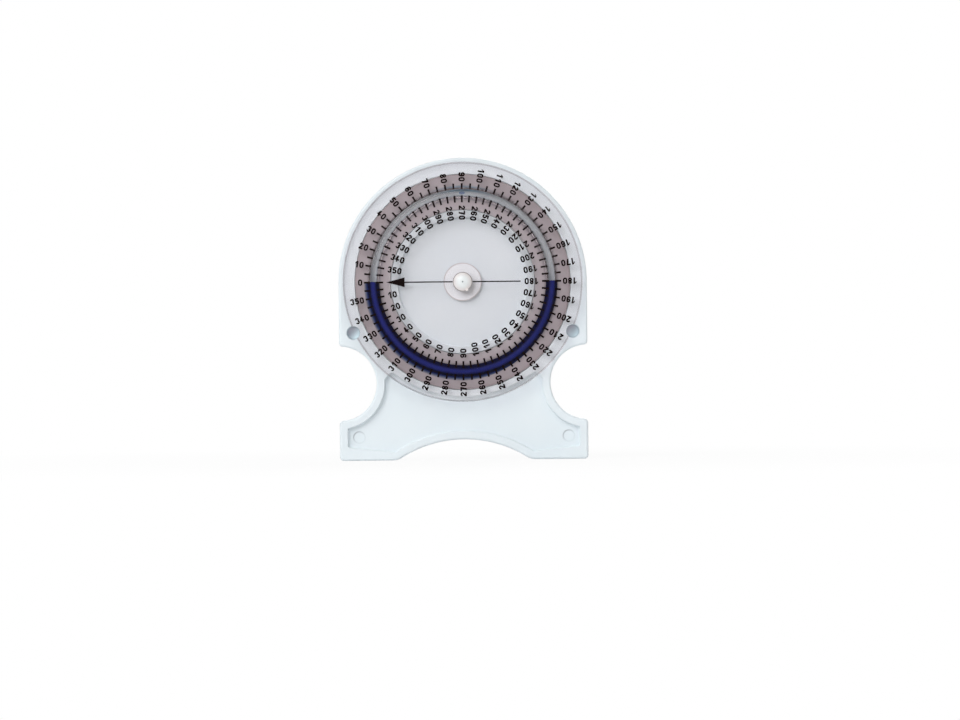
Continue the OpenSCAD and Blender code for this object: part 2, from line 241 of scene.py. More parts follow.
def corner_centre(a, b, radius, near):
    """Centre of the arc that rounds curve a into curve b, found from a point near it."""
    centre = near
    for _ in range(20):
        normal_a, normal_b = a.normal(centre), b.normal(centre)
        error_a, error_b = a.left(centre) - radius, b.left(centre) - radius
        cross = (normal_a.conjugate() * normal_b).imag
        centre -= 1j * (normal_a * error_b - normal_b * error_a) / cross
    return centre


def half_outline(start, parts, end):
    """Right half of an outline, from its lowest to its highest point on the middle line.
    parts alternates curves and corners. A corner is (radius, point near its centre), or (0, joint) between
    curves that meet smoothly."""
    curves, corners = parts[0::2], parts[1::2]
    points = [start]
    for curve, following, (radius, near) in zip(curves, curves[1:], corners):
        if radius == 0:
            points += curve.between(points[-1], near) + [near]
            continue
        centre = corner_centre(curve, following, radius, near)
        begin, finish = curve.nearest(centre), following.nearest(centre)
        points += curve.between(points[-1], begin) + [begin]
        points += Circle(centre, abs(radius), 1 if radius > 0 else -1).between(begin, finish) + [finish]
    return points + curves[-1].between(points[-1], end) + [end]


def symmetric(half):
    """Closed outline from its right half."""
    return half + [mirrored(p) for p in reversed(half[1:-1])]


def inset(points, by):
    """Closed outline moved inwards."""
    moved = []
    for before, here, after in zip(points[-1:] + points[:-1], points, points[1:] + points[:1]):
        a, b = unit(here - before), unit(after - here)
        middle = unit(a + b)
        moved.append(here + 1j * middle * by / (a.conjugate() * middle).real)
    return moved


def quarter(radius, steps=4):
    """Rounding from a wall to a face: (way in from the wall, way up the wall) pairs."""
    angles = [math.pi / 2 * i / steps for i in range(steps + 1)]
    return [(radius * (1 - math.cos(t)), radius * math.sin(t)) for t in angles]


def mouth(radius):
    """Rounded mouth of a cut: (way out from the wall, height over the face) pairs, ending past the face."""
    angles = [math.radians(MOUTH_SWEEP * i / MOUTH_STEPS) for i in range(MOUTH_STEPS + 1)]
    pairs = [(radius * (1 - math.cos(t)), radius * (math.sin(t) - 1)) for t in angles]
    out, up = pairs[-1]
    slope = math.tan(math.radians(90 - MOUTH_SWEEP))
    return pairs + [(out + (MOUTH_PAST - up) / slope, MOUTH_PAST)]


def new_object(name, bm):
    bmesh.ops.remove_doubles(bm, verts=bm.verts, dist=1e-5)
    bmesh.ops.recalc_face_normals(bm, faces=bm.faces)
    mesh = bpy.data.meshes.new(name)
    bm.to_mesh(mesh)
    bm.free()
    obj = bpy.data.objects.new(name, mesh)
    bpy.context.scene.collection.objects.link(obj)
    return obj


def grid(name, rows, wrap_rows=False, caps=False):
    """Mesh over rows of points. Each row closes on itself."""
    bm = bmesh.new()
    verts = [[bm.verts.new(p) for p in row] for row in rows]
    pairs = list(zip(verts, verts[1:])) + ([(verts[-1], verts[0])] if wrap_rows else [])
    for low, high in pairs:
        for i in range(len(low)):
            j = (i + 1) % len(low)
            bm.faces.new((low[i], low[j], high[j], high[i]))
    if caps:
        bm.faces.new(list(reversed(verts[0])))
        bm.faces.new(verts[-1])
    return new_object(name, bm)


def loft(name, rings):
    """Solid through (outline, height) rings, from the lowest up."""
    return grid(name, [[(p.real, p.imag, z) for p in points] for points, z in rings], caps=True)


def lathe(name, profile, centre=0j, steps=TURN_STEPS, closed=True):
    """Solid of revolution about a line through centre, from a profile of (radius, height) pairs.
    A profile that isn't closed starts and ends on the line."""
    rows = []
    for radius, z in profile:
        turned = [centre + polar(radius, 360 * i / steps) for i in range(steps)]
        rows.append([(p.real, p.imag, z) for p in turned])
    return grid(name, rows, wrap_rows=closed)


def baked_modifiers(obj):
    """Replaces the mesh with what its modifiers make of it."""
    bpy.context.view_layer.update()
    shown = obj.evaluated_get(bpy.context.evaluated_depsgraph_get())
    mesh = bpy.data.meshes.new_from_object(shown)
    obj.modifiers.clear()
    old = obj.data
    obj.data = mesh
    bpy.data.meshes.remove(old)


def combine(obj, tool, operation):
    """Exact boolean of two solids. The tool is used up."""
    modifier = obj.modifiers.new(operation.lower(), "BOOLEAN")
    modifier.operation = operation
    modifier.solver = "EXACT"
    modifier.object = tool
    baked_modifiers(obj)
    spent = tool.data
    bpy.data.objects.remove(tool)
    bpy.data.meshes.remove(spent)


def cut(obj, *tools):
    for tool in tools:
        combine(obj, tool, "DIFFERENCE")


UPRIGHT = Matrix(((MM, 0, 0, 0), (0, 0, -MM, BACK * MM), (0, MM, 0, AXIS_H * MM), (0, 0, 0, 1)))
SHARP_ANGLE = 30


def set_up(obj, body, material, node):
    """Stands a drawn piece upright in the frame, smooths its round faces and ties it to its body."""
    obj.data.transform(UPRIGHT)
    for polygon in obj.data.polygons:
        polygon.use_smooth = True
    obj.data.set_sharp_from_angle(angle=math.radians(SHARP_ANGLE))
    modifier = obj.modifiers.new("normals", "WEIGHTED_NORMAL")
    modifier.weight = 100
    modifier.keep_sharp = True
    baked_modifiers(obj)
    paint(obj, material)
    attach(obj, body)
    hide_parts(node)


def paint(obj, material):
    obj.data.materials.clear()
    obj.data.materials.append(material)


# Materials


# Range that noise mostly keeps to
NOISE_LOW = 0.3
NOISE_HIGH = 0.7

# Sizes of the usual patterns, as noise scales
FLOW = 45.0
WAVES = 220.0
GLOSS = 600.0
TEXTURE = 6000.0

# Depth of the fine texture of moulded plastic, in metres
GRAIN = 0.00002

# Absorption of the clear plastic, in parts per metre
TINT_PER_M = 8.0


class Nodes:
    """Short calls for the nodes of one tree."""

    def __init__(self, tree, output):
        self.tree = tree
        self.tree.nodes.clear()
        self.output = self.add(output)

    def add(self, kind, inputs=None, **settings):
        node = self.tree.nodes.new("ShaderNode" + kind)
        for key, value in settings.items():
            setattr(node, key, value)
        for key, value in (inputs or {}).items():
            self.feed(node.inputs[key], value)
        return node

    def feed(self, socket, value):
        if isinstance(value, bpy.types.NodeSocket):
            self.tree.links.new(value, socket)
        else:
            socket.default_value = value

    def total(self, a, b):
        """Sum of two shares, at most 1."""
        return self.add("Math", {0: a, 1: b}, operation="ADD", use_clamp=True).outputs[0]

    def product(self, first, *others):
        for other in others:
            first = self.add("Math", {0: first, 1: other}, operation="MULTIPLY").outputs[0]
        return first

    def spread(self, value, low, high, to_low=0.0, to_high=1.0):
        inputs = {"Value": value, "From Min": low, "From Max": high, "To Min": to_low, "To Max": to_high}
        return self.add("MapRange", inputs).outputs["Result"]

    def mix_shaders(self, factor, a, b):
        return self.add("MixShader", {0: factor, 1: a, 2: b}).outputs["Shader"]


class Shader(Nodes):
    """Short calls for the nodes of one material."""

    def __init__(self, name):
        self.material = bpy.data.materials.new(name)
        self.material.use_nodes = True
        super().__init__(self.material.node_tree, "OutputMaterial")

    def place(self):
        """Position on the piece at rest, in metres."""
        return self.add("TexCoord").outputs["Object"]

    def noise(self, scale, detail=2.0, roughness=0.5, stretch=None):
        vector = self.place()
        if stretch:
            vector = self.add("VectorMath", {0: vector, 1: stretch}, operation="MULTIPLY").outputs[0]
        inputs = {"Vector": vector, "Scale": scale, "Detail": detail, "Roughness": roughness}
        return self.add("TexNoise", inputs).outputs["Fac"]

    def clouds(self, scale, detail, to_low=0.0, to_high=1.0):
        """Noise brought to a range of its own."""
        return self.spread(self.noise(scale, detail), NOISE_LOW, NOISE_HIGH, to_low, to_high)

    def mix(self, factor, a, b):
        node = self.add("Mix", data_type="RGBA")
        self.feed(node.inputs[0], factor)
        self.feed(node.inputs[6], a)
        self.feed(node.inputs[7], b)
        return node.outputs[2]

    def ramp(self, value, stops):
        node = self.add("ValToRGB", {"Fac": value})
        elements = node.color_ramp.elements
        while len(elements) < len(stops):
            elements.new(0.5)
        for element, (position, colour) in zip(elements, stops):
            element.position = position
            element.color = colour
        return node.outputs["Color"]

    def way_from(self, p):
        """Way from a point of the drawing plane, in metres of the frame."""
        back = (-p.real * MM, 0, -(AXIS_H + p.imag) * MM)
        return self.add("VectorMath", {0: self.place(), 1: back}, operation="ADD").outputs[0]

    def distance(self, p=0j):
        """Distance in millimetres, seen from the front, from a point of the drawing plane."""
        flat = {0: self.way_from(p), 1: (1 / MM, 0, 1 / MM)}
        flat = self.add("VectorMath", flat, operation="MULTIPLY").outputs[0]
        return self.add("VectorMath", {0: flat}, operation="LENGTH").outputs["Value"]

    def upper_left(self, p, reach):
        """1 at reach millimetres to the upper left of a point, falling to 0 as far to its lower right."""
        along = {0: self.way_from(p), 1: (-0.7 / MM, 0, 0.7 / MM)}
        along = self.add("VectorMath", along, operation="DOT_PRODUCT").outputs["Value"]
        return self.spread(along, -reach, reach)

    def before(self, z):
        """1 in front of a height over the back face in millimetres, 0 behind it."""
        blur = 0.1
        depth = self.add("SeparateXYZ", {"Vector": self.place()}).outputs["Y"]
        return self.spread(depth, (BACK - z) * MM, (BACK - z - blur) * MM)

    def peak(self, value, middle, reach, height=1.0):
        """Height at the middle, falling to 0 at reach on both sides of it."""
        away = self.add("Math", {0: value, 1: middle}, operation="SUBTRACT").outputs[0]
        away = self.add("Math", {0: away}, operation="ABSOLUTE").outputs[0]
        return self.spread(away, 0.0, reach, height, 0.0)

    def bump(self, height, distance, strength, normal=None):
        inputs = {"Height": height, "Distance": distance, "Strength": strength}
        if normal:
            inputs["Normal"] = normal
        return self.add("Bump", inputs).outputs["Normal"]

    def principled(self, inputs):
        return self.add("BsdfPrincipled", inputs).outputs["BSDF"]

    def finish(self, shader):
        self.feed(self.output.inputs["Surface"], shader)
        return self.material


def srgb(r, g, b):
    """Linear colour of a display colour given from 0 to 255."""
    linear = [(c / 255 / 12.92) if c <= 10 else ((c / 255 + 0.055) / 1.055) ** 2.4 for c in (r, g, b)]
    return (*linear, 1.0)


def moulded(s, colour, roughness):
    """Moulded plastic with a fine texture, faint waves and uneven gloss."""
    waves = s.bump(s.noise(WAVES), 3 * GRAIN, 0.2)
    normal = s.bump(s.noise(TEXTURE, 3.0, 0.6), GRAIN, 0.35, waves)
    gloss = s.clouds(GLOSS, 3.0, roughness - 0.06, roughness + 0.06)
    inputs = {"Base Color": colour, "Roughness": gloss, "Normal": normal}
    return s.finish(s.principled({**inputs, "IOR": 1.5, "Specular IOR Level": 0.45}))


def base_plastic():
    """White moulding, faintly blue, with painted shade in the two dimples, darkest at their upper left, and
    painted light at their lower right. A painted shade line runs round each ejector mark, strongest at its
    upper left."""
    s = Shader("white_styrene")
    colour = s.mix(s.clouds(FLOW, 4.0), srgb(232, 240, 244), srgb(227, 236, 241))
    in_dimple = s.before(BASE_D - DIMPLE_D - 1)
    in_tray = s.before(TRAY_Z - 1.5)
    for side in (1, -1):
        dimple = dimple_centre(side)
        from_dimple = s.distance(dimple)
        # Painted shade in each dimple, darkest at its upper left, painted light at its lower right, and a
        # darker painted shade line round its rim
        share = s.spread(s.upper_left(dimple, DIMPLE_R), 0.15, 0.85)
        dimple_shading = s.mix(share, srgb(232, 250, 255), srgb(204, 198, 206))
        dimple_shading = s.mix(s.peak(from_dimple, DIMPLE_R - 0.2, 0.4, 0.7), dimple_shading, srgb(172, 186, 194))
        inside = s.spread(from_dimple, DIMPLE_R + 0.05, DIMPLE_R - 0.15)
        colour = s.mix(s.product(inside, in_dimple), colour, dimple_shading)
        mark = mark_centre(side)
        # Painted shade line round each ejector mark, strongest at its upper left
        line = s.peak(s.distance(mark), MARK_R - 0.15, 0.42, 0.9)
        share = s.spread(s.upper_left(mark, MARK_R), 0.35, 0.95, 0.25, 1.0)
        colour = s.mix(s.product(line, share, in_tray), colour, srgb(186, 192, 197))
    return moulded(s, colour, 0.42)


def plug_plastic():
    """Moulding stained by the dye."""
    s = Shader("plug_plastic")
    return moulded(s, s.mix(s.clouds(FLOW, 4.0), srgb(120, 140, 172), srgb(106, 126, 160)), 0.35)


def rivet_plastic():
    """White moulding with a dark dot in its middle. Painted shade makes it warmer and darker towards its
    rim, and a dark painted shade line runs round the rim, except over the gate nub, which keeps the warm rim
    tone."""
    s = Shader("rivet_plastic")
    arm = s.distance()
    haze = s.clouds(700.0, 3.0)
    colour = s.mix(haze, srgb(234, 238, 239), srgb(228, 232, 233))
    # Painted shade, warmer and darker towards the rim of the dome
    colour = s.mix(s.spread(arm, HEAD_R * 0.45, HEAD_R - 0.2), colour, srgb(224, 217, 216))
    # Painted shade line round the rim
    colour = s.mix(s.peak(arm, HEAD_R - 0.08, 0.26), colour, srgb(96, 82, 82))
    # The gate nub is left out of the painted shade line and keeps the warm rim tone
    on_nub = s.spread(s.distance(nub_centre()), NUB_R + 0.02, NUB_R - 0.12)
    colour = s.mix(on_nub, colour, srgb(226, 219, 217))
    colour = s.mix(s.spread(arm, DOT_R * 1.3, DOT_R * 0.6), colour, srgb(112, 118, 126))
    gloss = s.spread(haze, 0, 1, 0.25, 0.35)
    normal = s.bump(s.noise(TEXTURE, 3.0), GRAIN / 2, 0.3)
    inputs = {"Base Color": colour, "Roughness": gloss, "Normal": normal}
    return s.finish(s.principled({**inputs, "Specular IOR Level": 0.5}))


def washer_plastic():
    """Natural moulding with a thin dark line of painted shade at its edge."""
    s = Shader("washer_nylon")
    colour = s.mix(s.clouds(160.0, 4.0), srgb(246, 250, 253), srgb(239, 243, 247))
    # Painted shade line at the edge
    edge = s.spread(s.distance(), WASHER_R - 0.5, WASHER_R - 0.15)
    colour = s.mix(edge, colour, srgb(204, 196, 197))
    gloss = s.clouds(GLOSS, 3.0, 0.44, 0.56)
    normal = s.bump(s.noise(TEXTURE, 3.0, 0.6), GRAIN, 0.35)
    inputs = {"Base Color": colour, "Roughness": gloss, "Normal": normal}
    return s.finish(s.principled({**inputs, "Specular IOR Level": 0.45}))


def clear_plastic():
    """Clear polished plastic, faintly smudged and tinted, with painted shade at its edge and in lines beside
    the bore.
    Its shadow is light, as that of a clear plate is."""
    s = Shader("clear_acrylic")
    smudges = s.spread(s.noise(90.0, 3.0), 0.45, 0.75, 0.004, 0.02)
    arm = s.distance()
    # Painted shade: a dark line at the edge, and dark lines on both sides of the bore
    edge = s.spread(arm, DIAL_R - 0.75, DIAL_R - 0.45)
    colour = s.mix(edge, srgb(249, 246, 246), srgb(208, 201, 203))
    colour = s.mix(s.peak(arm, CHANNEL_R + 1.75, 0.6), colour, srgb(108, 99, 105))
    colour = s.mix(s.peak(arm, CHANNEL_R - 1.6, 0.5), colour, srgb(186, 178, 184))
    inputs = {"Base Color": colour, "Roughness": smudges, "IOR": 1.49}
    glass = s.principled({**inputs, "Transmission Weight": 1.0})
    shade = s.add("BsdfTransparent", {"Color": srgb(247, 247, 250)}).outputs["BSDF"]
    tint = s.add("VolumeAbsorption", {"Color": (0.44, 0.32, 0.22, 1.0), "Density": TINT_PER_M})
    s.feed(s.output.inputs["Volume"], tint.outputs["Volume"])
    return s.finish(s.mix_shaders(s.add("LightPath").outputs["Is Shadow Ray"], glass, shade))


def ring_plastic():
    """Grey-beige tinted ring, with painted light at its cut edges and just inside its inner edge, and
    painted shade beside the bore and near its outer edge. Its bore is blue-grey from the dye, and the dye
    shows most about the plug.
    """
    s = Shader("smoked_ring")
    arm = s.distance()
    grey = srgb(188, 194, 197)
    painted_light_edge = srgb(250, 248, 248)
    # Tint by radius, with painted light at both cut edges and a little inside the inner edge, and painted
    # shade beside the bore and near the outer edge
    tint = s.ramp(s.spread(arm, RING_IN, RING_OUT), [
        (0.0, painted_light_edge), (0.006, srgb(204, 196, 200)), (0.17, srgb(198, 188, 192)),
        (0.25, srgb(186, 176, 180)), (0.309, srgb(146, 138, 143)), (0.312, grey), (0.638, grey),
        (0.641, srgb(160, 152, 156)), (0.69, srgb(184, 174, 178)), (0.8, srgb(186, 176, 180)),
        (0.94, srgb(182, 171, 175)), (0.994, srgb(170, 157, 160)), (1.0, painted_light_edge)])
    clouds = s.clouds(120.0, 3.0, 0.0, 0.25)
    colour = s.mix(clouds, tint, s.mix(0.35, tint, srgb(160, 156, 170)))
    near_plug = s.spread(s.distance(CHANNEL_R * 1j), 14.0, 4.0)
    outside = s.spread(arm, CHANNEL_R + 0.6, CHANNEL_R + 1.9)
    fading = s.spread(arm, CHANNEL_R + 3.2, CHANNEL_R + 2.2)
    colour = s.mix(s.product(near_plug, outside, fading, 0.8), colour, srgb(96, 140, 166))
    return s.finish(s.principled({"Base Color": colour, "Roughness": 0.45, "Specular IOR Level": 0.2}))


def blue_liquid():
    """Dyed liquid, with painted light along its middle and painted shade, near black, where the round bore
    turns away.
    On its thin sheet beside it, a painted blue glow fades to pale grey."""
    s = Shader("blue_liquid")
    off = s.add("Math", {0: s.distance(), 1: CHANNEL_R}, operation="SUBTRACT").outputs[0]
    # Painted light along the middle and painted shade at both sides
    colour = s.ramp(s.spread(off, -BORE_R, BORE_R), [
        (0.0, srgb(4, 5, 46)), (0.25, srgb(5, 6, 50)), (0.36, srgb(28, 31, 86)), (0.45, srgb(36, 43, 118)),
        (0.62, srgb(36, 43, 120)), (0.75, srgb(29, 34, 94)), (0.84, srgb(7, 10, 60)), (1.0, srgb(5, 8, 56))])
    colour = s.mix(s.clouds(160.0, 2.0, 0.0, 0.2), colour, srgb(22, 27, 74))
    # Painted blue glow beside the liquid, on its thin sheet
    painted_glow = s.ramp(s.spread(off, BORE_R, BORE_R + FRINGE), [
        (0.0, srgb(12, 20, 74)), (0.3, srgb(40, 56, 108)),
        (0.6, srgb(100, 108, 134)), (1.0, srgb(166, 160, 168))])
    colour = s.mix(s.spread(off, BORE_R, BORE_R + 0.05), colour, painted_glow)
    return s.finish(s.principled({"Base Color": colour, "Roughness": 0.25, "Specular IOR Level": 0.05}))


def print_ink():
    """Screen-printed ink, near black and faintly brown, uneven where it was thin."""
    s = Shader("print_ink")
    thin = s.spread(s.noise(3500.0, 3.0), 0.35, 0.75)
    colour = s.mix(thin, srgb(14, 5, 4), srgb(24, 11, 9))
    gloss = s.spread(thin, 0, 1, 0.42, 0.6)
    inputs = {"Base Color": colour, "Roughness": gloss, "Normal": s.bump(s.noise(9000.0), GRAIN / 2, 0.4)}
    return s.finish(s.principled({**inputs, "Specular IOR Level": 0.05}))


def sheet_metal(name, level, roughness):
    """Plated sheet metal of a grey level, with fine rolling marks."""
    s = Shader(name)
    grey = (level, level + 0.01, level + 0.03, 1.0)
    dull = (*(0.75 * c for c in grey[:3]), 1.0)
    marks = s.noise(900.0, 4.0, 0.6, (1.0, 1.0, 18.0))
    colour = s.mix(s.spread(s.noise(2500.0, 3.0), 0.4, 0.8), grey, dull)
    gloss = s.spread(marks, NOISE_LOW, NOISE_HIGH, roughness, roughness + 0.15)
    inputs = {"Base Color": colour, "Roughness": gloss, "Normal": s.bump(marks, 0.000015, 0.4)}
    return s.finish(s.principled({**inputs, "Metallic": 1.0}))


# Pieces


def base_outline():
    right = Line(HALF_W + 0j, 1j)
    foot_dy = math.sqrt((WAIST_R + CORNER_R) ** 2 - CORNER_R ** 2)
    side_x = HALF_W - CORNER_R
    fillet_y = SOLE_Y + ARCH_FILLET_R
    fillet_x = math.sqrt((ARCH_R + ARCH_FILLET_R) ** 2 - (fillet_y - ARCH_Y) ** 2)
    return symmetric(half_outline(complex(0, ARCH_Y + ARCH_R), [
        Circle(complex(0, ARCH_Y), ARCH_R, -1), (ARCH_FILLET_R, complex(fillet_x, fillet_y)),
        Line(complex(0, SOLE_Y), 1), (CORNER_R, complex(side_x, SOLE_Y + CORNER_R)),
        right, (CORNER_R, complex(side_x, WAIST_Y - foot_dy)),
        Circle(complex(HALF_W, WAIST_Y), WAIST_R, -1), (CORNER_R, complex(side_x, WAIST_Y + foot_dy)),
        right, (0, HALF_W + 0j),
        Circle(0j, HALF_W, 1)], complex(0, HALF_W)))


def tray_outline():
    side = HALF_W - SIDE_RIM
    waist_r = WAIST_R + RIM_W
    arch_r = ARCH_R + RIM_W
    edge = polar(1, TRAY_HALF_ANGLE - 90)
    near_edge = polar(1, TRAY_HALF_ANGLE - 92)
    low_out = complex(side, SOLE_Y + SOLE_RIM)
    low_in = complex(TRAY_TOE_X, SOLE_Y + RIM_W)
    return symmetric(half_outline(complex(0, ARCH_Y + arch_r), [
        Circle(complex(0, ARCH_Y), arch_r, -1), (TRAY_CORNER_R, low_in + 1j * TRAY_CORNER_R),
        Line(low_in, low_out - low_in), (TRAY_TIGHT_R, low_out + complex(-1, 1)),
        Line(complex(side, 0), 1j), (TRAY_TIGHT_R, complex(side - 1, WAIST_Y - waist_r)),
        Circle(complex(HALF_W, WAIST_Y), waist_r, -1), (TRAY_TIGHT_R, near_edge * HALF_W),
        Line(0j, -edge), (TRAY_CORNER_R, near_edge * (PLATFORM_R + TRAY_CORNER_R)),
        Circle(0j, PLATFORM_R, -1)], complex(0, -PLATFORM_R)))


def rib_sector_outline():
    """Space between two ribs behind the dial seat, along the upward direction."""
    outer_r = POCKET_R - POCKET_ROOM
    rib = polar(1, 90 - 180 / RIB_COUNT)
    side = Line(1j * rib * RIB_T / 2, rib)
    return symmetric(half_outline(complex(0, BOSS_R), [
        Circle(0j, BOSS_R, -1), (RIB_ROOT_R, BOSS_R * rib + 1j),
        side, (RIB_END_R, outer_r * rib + complex(-2, -1)),
        Circle(0j, outer_r, 1)], complex(0, outer_r)))


def both_sides(make):
    return [make(1), make(-1)]


def dimple_centre(side):
    p = polar(DIAL_R + DIMPLE_OUT, -DIMPLE_ANGLE)
    return p if side > 0 else mirrored(p)


def mark_centre(side):
    return complex(side * MARK_X, MARK_Y)


def nub_centre():
    return polar(HEAD_R - NUB_R / 2, NUB_ANGLE)


def cut_rings(outline, bottom, face, fillet):
    """Rings of a cut from a face down, or up, to bottom, with a rounded mouth and floor."""
    way = 1 if face > bottom else -1
    floor = reversed(quarter(fillet))
    rings = [(inset(outline, way_in), bottom + way * (fillet - up)) for way_in, up in floor]
    rings += [(inset(outline, -out), face + way * up) for out, up in mouth(INNER_EDGE_R)]
    return rings[::way]


def well_profile():
    floor = quarter(FLOOR_FILLET)
    lip = mouth(INNER_EDGE_R)
    outer = [(WELL_OUT - way_in, WALL + FLOOR_FILLET - up) for way_in, up in reversed(floor)]
    outer += [(WELL_OUT + out, BASE_D + up) for out, up in lip]
    inner = [(WELL_IN - out, BASE_D + up) for out, up in reversed(lip)]
    inner += [(WELL_IN + way_in, WALL + FLOOR_FILLET - up) for way_in, up in floor]
    return outer + inner


def step_profile():
    """Cut of the round step, round the boss and down its bore."""
    floor = quarter(STEP_FILLET)
    low = BOSS_FRONT - STEP_FILLET
    high = STEP_Z + STEP_FILLET
    profile = [(0, -PAST), (BORE_HOLE_R, -PAST), (BORE_HOLE_R, low)]
    profile += [(BORE_HOLE_R + way_in, low + up) for way_in, up in floor[1:]]
    profile += [(BOSS_R - way_in, low + up) for way_in, up in reversed(floor)]
    profile += [(BOSS_R + way_in, high - up) for way_in, up in floor]
    profile += [(STEP_R - way_in, high - up) for way_in, up in reversed(floor)]
    profile += [(STEP_R + out, BASE_D + up) for out, up in mouth(INNER_EDGE_R)]
    return profile + [(0, BASE_D + MOUTH_PAST)]


def dimple_tool(side):
    steps = 8
    spread = math.asin(DIMPLE_R / DIMPLE_BOTTOM_R)
    centre_z = BASE_D - DIMPLE_D + DIMPLE_BOTTOM_R
    dish = [polar(DIMPLE_BOTTOM_R, math.degrees(spread) * i / steps) for i in range(steps + 1)]
    profile = [(p.imag, centre_z - p.real) for p in dish]
    profile += [(DIMPLE_R + out, BASE_D + up) for out, up in mouth(INNER_EDGE_R)]
    profile += [(0, BASE_D + MOUTH_PAST)]
    return lathe("dimple", profile, dimple_centre(side), SMALL_STEPS, closed=False)


def mark_tool(side):
    """Cut of the shallow ejector mark in a foot."""
    low = TRAY_Z - MARK_D
    profile = [(0, low), (MARK_R - MARK_EDGE, low), (MARK_R, low + MARK_EDGE)]
    profile += [(MARK_R, TRAY_Z + PAST), (0, TRAY_Z + PAST)]
    return lathe("mark", profile, mark_centre(side), SMALL_STEPS, closed=False)


def rear_pocket_tool():
    profile = [(0, RIB_RECESS), (POCKET_R, RIB_RECESS)]
    profile += [(POCKET_R + out, -up) for out, up in mouth(INNER_EDGE_R)]
    profile += [(0, -MOUTH_PAST)]
    return lathe("rear_pocket", profile, closed=False)


def boss_room_tool():
    room_r = BOSS_R + POCKET_ROOM
    profile = [(0, -PAST), (room_r, -PAST), (room_r, BOSS_BACK), (0, BOSS_BACK)]
    return lathe("boss_room", profile, closed=False)


def sector_tool(number):
    """Space between two ribs, up to a roof one wall under the step."""
    sector = [p * polar(1, 360 * (number + 0.5) / RIB_COUNT) for p in rib_sector_outline()]
    start = RIB_RECESS - 0.2
    roof = STEP_Z - WALL
    rings = [(sector, start)]
    rings += [(inset(sector, way_in), roof - SECTOR_FILLET + up) for way_in, up in quarter(SECTOR_FILLET)]
    return loft("sector", rings)


def make_base(material):
    outline = base_outline()
    rounding = quarter(EDGE_R)
    rings = [(inset(outline, way_in), EDGE_R - up) for way_in, up in reversed(rounding)]
    rings += [(inset(outline, way_in), BASE_D - EDGE_R + up) for way_in, up in rounding]
    base = loft("base_shell", rings)
    cut(base, loft("tray", cut_rings(tray_outline(), TRAY_Z, BASE_D, TRAY_FILLET)))
    cut(base, loft("leg_core", cut_rings(tray_outline(), TRAY_Z - WALL, 0, FLOOR_FILLET)))
    cut(base, lathe("well", well_profile()))
    cut(base, lathe("step", step_profile(), closed=False))
    cut(base, *both_sides(dimple_tool))
    cut(base, *both_sides(mark_tool))
    cut(base, rear_pocket_tool())
    cut(base, boss_room_tool())
    for number in range(RIB_COUNT):
        cut(base, sector_tool(number))
    set_up(base, "base", material, "base_plate")


def bore_section(radius, start=0, end=360, steps=48):
    """Arc of the bore's round section as (radius from the axis, height) pairs. A full turn stops one step
    short of its start."""
    count = steps if end - start == 360 else steps + 1
    angles = [start + (end - start) * i / steps for i in range(count)]
    points = [complex(CHANNEL_R, DISC_BACK) + polar(radius, angle) for angle in angles]
    return [(p.real, p.imag) for p in points]


def notch_tool(side):
    """Cut of the round notch over a dimple, with its front edge chamfered."""
    chamfer = DISC_CHAMFER / 2
    profile = [(0, DISC_BACK - PAST), (DIMPLE_R, DISC_BACK - PAST), (DIMPLE_R, DISC_FRONT - chamfer)]
    profile += [(DIMPLE_R + chamfer, DISC_FRONT), (DIMPLE_R + 2 * chamfer, DISC_FRONT + chamfer)]
    profile += [(0, DISC_FRONT + chamfer)]
    return lathe("notch", profile, dimple_centre(side), SMALL_STEPS, closed=False)


def make_disc(material):
    """Clear disc with the front half of the bore in its back."""
    profile = [(SHANK_HOLE_R, DISC_BACK)] + bore_section(BORE_R, 180, 0, 36)
    profile += [(DIAL_R - DISC_BACK_CHAMFER, DISC_BACK), (DIAL_R, DISC_BACK + DISC_BACK_CHAMFER)]
    profile += [(DIAL_R, DISC_FRONT - DISC_CHAMFER), (DIAL_R - DISC_CHAMFER, DISC_FRONT)]
    profile += [(SHANK_HOLE_R, DISC_FRONT)]
    disc = lathe("dial_disc", profile, steps=DISC_STEPS)
    cut(disc, *both_sides(notch_tool))
    set_up(disc, "dial", material, "front_disc")


def make_ring(material):
    """Ring with the back half of the bore. Its front is bonded to the disc and lies a trace inside it."""
    front = DISC_BACK + BOND
    reach = math.degrees(math.asin(BOND / BORE_R))
    profile = [(RING_OUT - RING_CHAMFER, RING_BACK), (RING_OUT, RING_BACK + RING_CHAMFER), (RING_OUT, front)]
    profile += list(reversed(bore_section(BORE_R, -180 - reach, reach)))
    profile += [(RING_IN, front), (RING_IN, RING_BACK + RING_CHAMFER), (RING_IN + RING_CHAMFER, RING_BACK)]
    ring = lathe("liquid_ring_back", profile)
    start = RING_BACK - PAST
    hole = [(0, start), (PLUG_HOLE_R, start), (PLUG_HOLE_R, DISC_BACK), (0, DISC_BACK)]
    cut(ring, lathe("plug_hole", hole, CHANNEL_R * 1j, 48, closed=False))
    set_up(ring, "dial", material, "channel_ring")


def make_liquid(material):
    """Half ring of liquid, which fills the bore to its wall. At its lower left a thin sheet of it reaches
    out a little between the disc and the ring, and carries a painted blue glow."""
    outside = CHANNEL_R + BORE_R + BOND
    section = bore_section(BORE_R + BOND)
    rows = []
    steps = round(TURN_STEPS * FLUID_ARC / 360)
    for i in range(steps + 1):
        angle = -90 - FLUID_ARC / 2 + FLUID_ARC * i / steps
        # Thin sheet that carries the painted blue glow; it grows from nothing at the lower right to full
        # width at the bottom and left
        lip = FRINGE * min(1, max(0, (FRINGE_START - angle) / FRINGE_GROWTH))
        glow_sheet = [(outside + lip, DISC_BACK + 2 * BOND), (outside, DISC_BACK + 4 * BOND)]
        turned = [(polar(r, angle), z) for r, z in section[:1] + glow_sheet + section[1:]]
        rows.append([(p.real, p.imag, z) for p, z in turned])
    set_up(grid("liquid_body", rows, caps=True), "liquid", material, "level_fluid")


